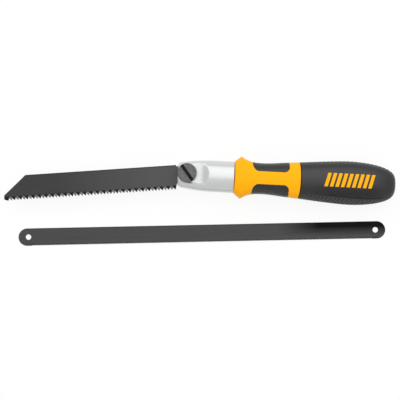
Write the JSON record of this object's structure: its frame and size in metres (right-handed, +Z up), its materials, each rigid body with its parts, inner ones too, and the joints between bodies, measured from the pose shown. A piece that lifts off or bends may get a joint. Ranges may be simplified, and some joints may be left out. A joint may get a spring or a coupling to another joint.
{
  "type": "flush cut saw",
  "caption": "Straight-handled flush cut saw: slanted-nose wood blade in a two-part clamp head with a coin-slot screw, and a loose spare hacksaw blade beside it.",
  "frame": {"origin": "middle of the bounding box on the table that the saw and its spare blade lie on", "axes": "+X along the handle towards its butt, +Y across the table towards the blade's back, +Z up from the table, square to the blade's face"},
  "size_m": [0.2806, 0.0726, 0.0255],
  "materials": {
    "blade_steel": "black oxide, satin",
    "hacksaw_steel": "dark varnish, satin",
    "cast_aluminium": "fine satin casting",
    "blackened_steel": "phosphated, satin",
    "zinc_steel": "zinc plated",
    "yellow_plastic": "smooth moulded, low gloss",
    "dark_rubber": "matt, with fine moulded ribs"
  },
  "bodies": {
    "handle": {"head_front_half": "cast_aluminium", "head_rear_half": "cast_aluminium", "head_dowel_pins": "zinc_steel", "captive_nut": "zinc_steel", "handle_core": "yellow_plastic", "palm_grip_sleeve": "dark_rubber", "upper_finger_pad": "dark_rubber", "lower_finger_pad": "dark_rubber", "front_badge_bars": "yellow_plastic", "rear_badge_bars": "yellow_plastic"},
    "washer": {"spring_washer": "zinc_steel"},
    "screw": {"clamp_screw": "blackened_steel"},
    "blade": {"wood_blade": "blade_steel"},
    "spare": {"spare_hacksaw_blade": "hacksaw_steel"}
  },
  "joints": [
    {"name": "screw_rise", "type": "slide", "parent": "handle", "child": "washer", "axis": [0, 0, 1], "range_m": [0, 0.0014]},
    {"name": "screw_turn", "type": "hinge", "parent": "washer", "child": "screw", "pos_m": [-0.00941, 0.02157, 0.01277], "axis": [0, 0, 1], "range_deg": [0, 720]},
    {"name": "blade_slide", "type": "slide", "parent": "handle", "child": "blade", "axis": [-0.9932, -0.1167, 0], "range_m": [0, 0.045]},
    {"name": "spare_lift", "type": "slide", "parent": "handle", "child": "spare", "axis": [0, 0, 1], "range_m": [0, 0.05]}
  ],
  "couplings": [
    {"joint": "screw_turn", "follows": "screw_rise", "rad_per_m": 8975.9}
  ]
}
